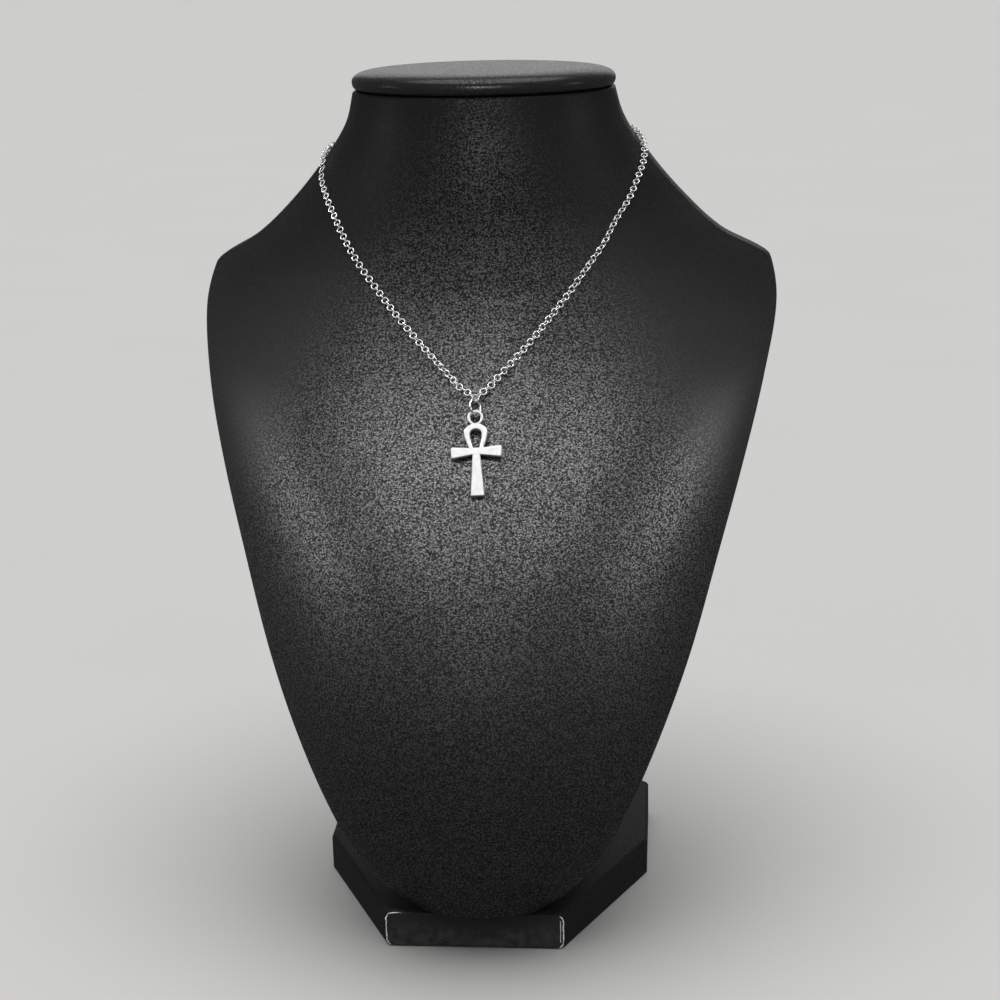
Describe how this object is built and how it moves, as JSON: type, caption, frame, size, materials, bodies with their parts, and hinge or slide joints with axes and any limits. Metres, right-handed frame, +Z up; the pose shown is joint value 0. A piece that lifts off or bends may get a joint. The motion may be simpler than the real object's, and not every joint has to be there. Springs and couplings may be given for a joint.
{
  "type": "ankh pendant necklace on a neck bust",
  "caption": "Silver ankh pendant on a fine link chain, hung on a black leather-covered neck bust with a low plinth; the ankh lifts on its jump ring.",
  "frame": {"origin": "on the surface that the plinth stands on, under the middle of the whole thing's width and depth", "axes": "+X across the shoulders to the viewer's right, -Y towards the viewer, +Z up"},
  "size_m": [0.2102, 0.1641, 0.2973],
  "materials": {
    "bust_leather": "fine grained black leatherette, semi-gloss",
    "cap_leather": "padded black leatherette, semi-gloss",
    "plinth_leather": "black leatherette, matt",
    "facing_leather": "black leatherette with a pale cut edge",
    "silver": "polished silver plate",
    "ankh_silver": "bright silver plate"
  },
  "bodies": {
    "display": {"torso": "bust_leather", "neck_cap": "cap_leather", "plinth": "plinth_leather", "plinth_facing": "facing_leather", "chain": "silver", "clasp": "silver", "jump_ring": "silver"},
    "ankh": {"ankh": "ankh_silver"}
  },
  "joints": [
    {"name": "ankh_lift", "type": "hinge", "parent": "display", "child": "ankh", "pos_m": [0.00182, -0.04167, 0.19194], "axis": [-0.9986, -0.0256, -0.0456], "range_deg": [0, 90]}
  ]
}
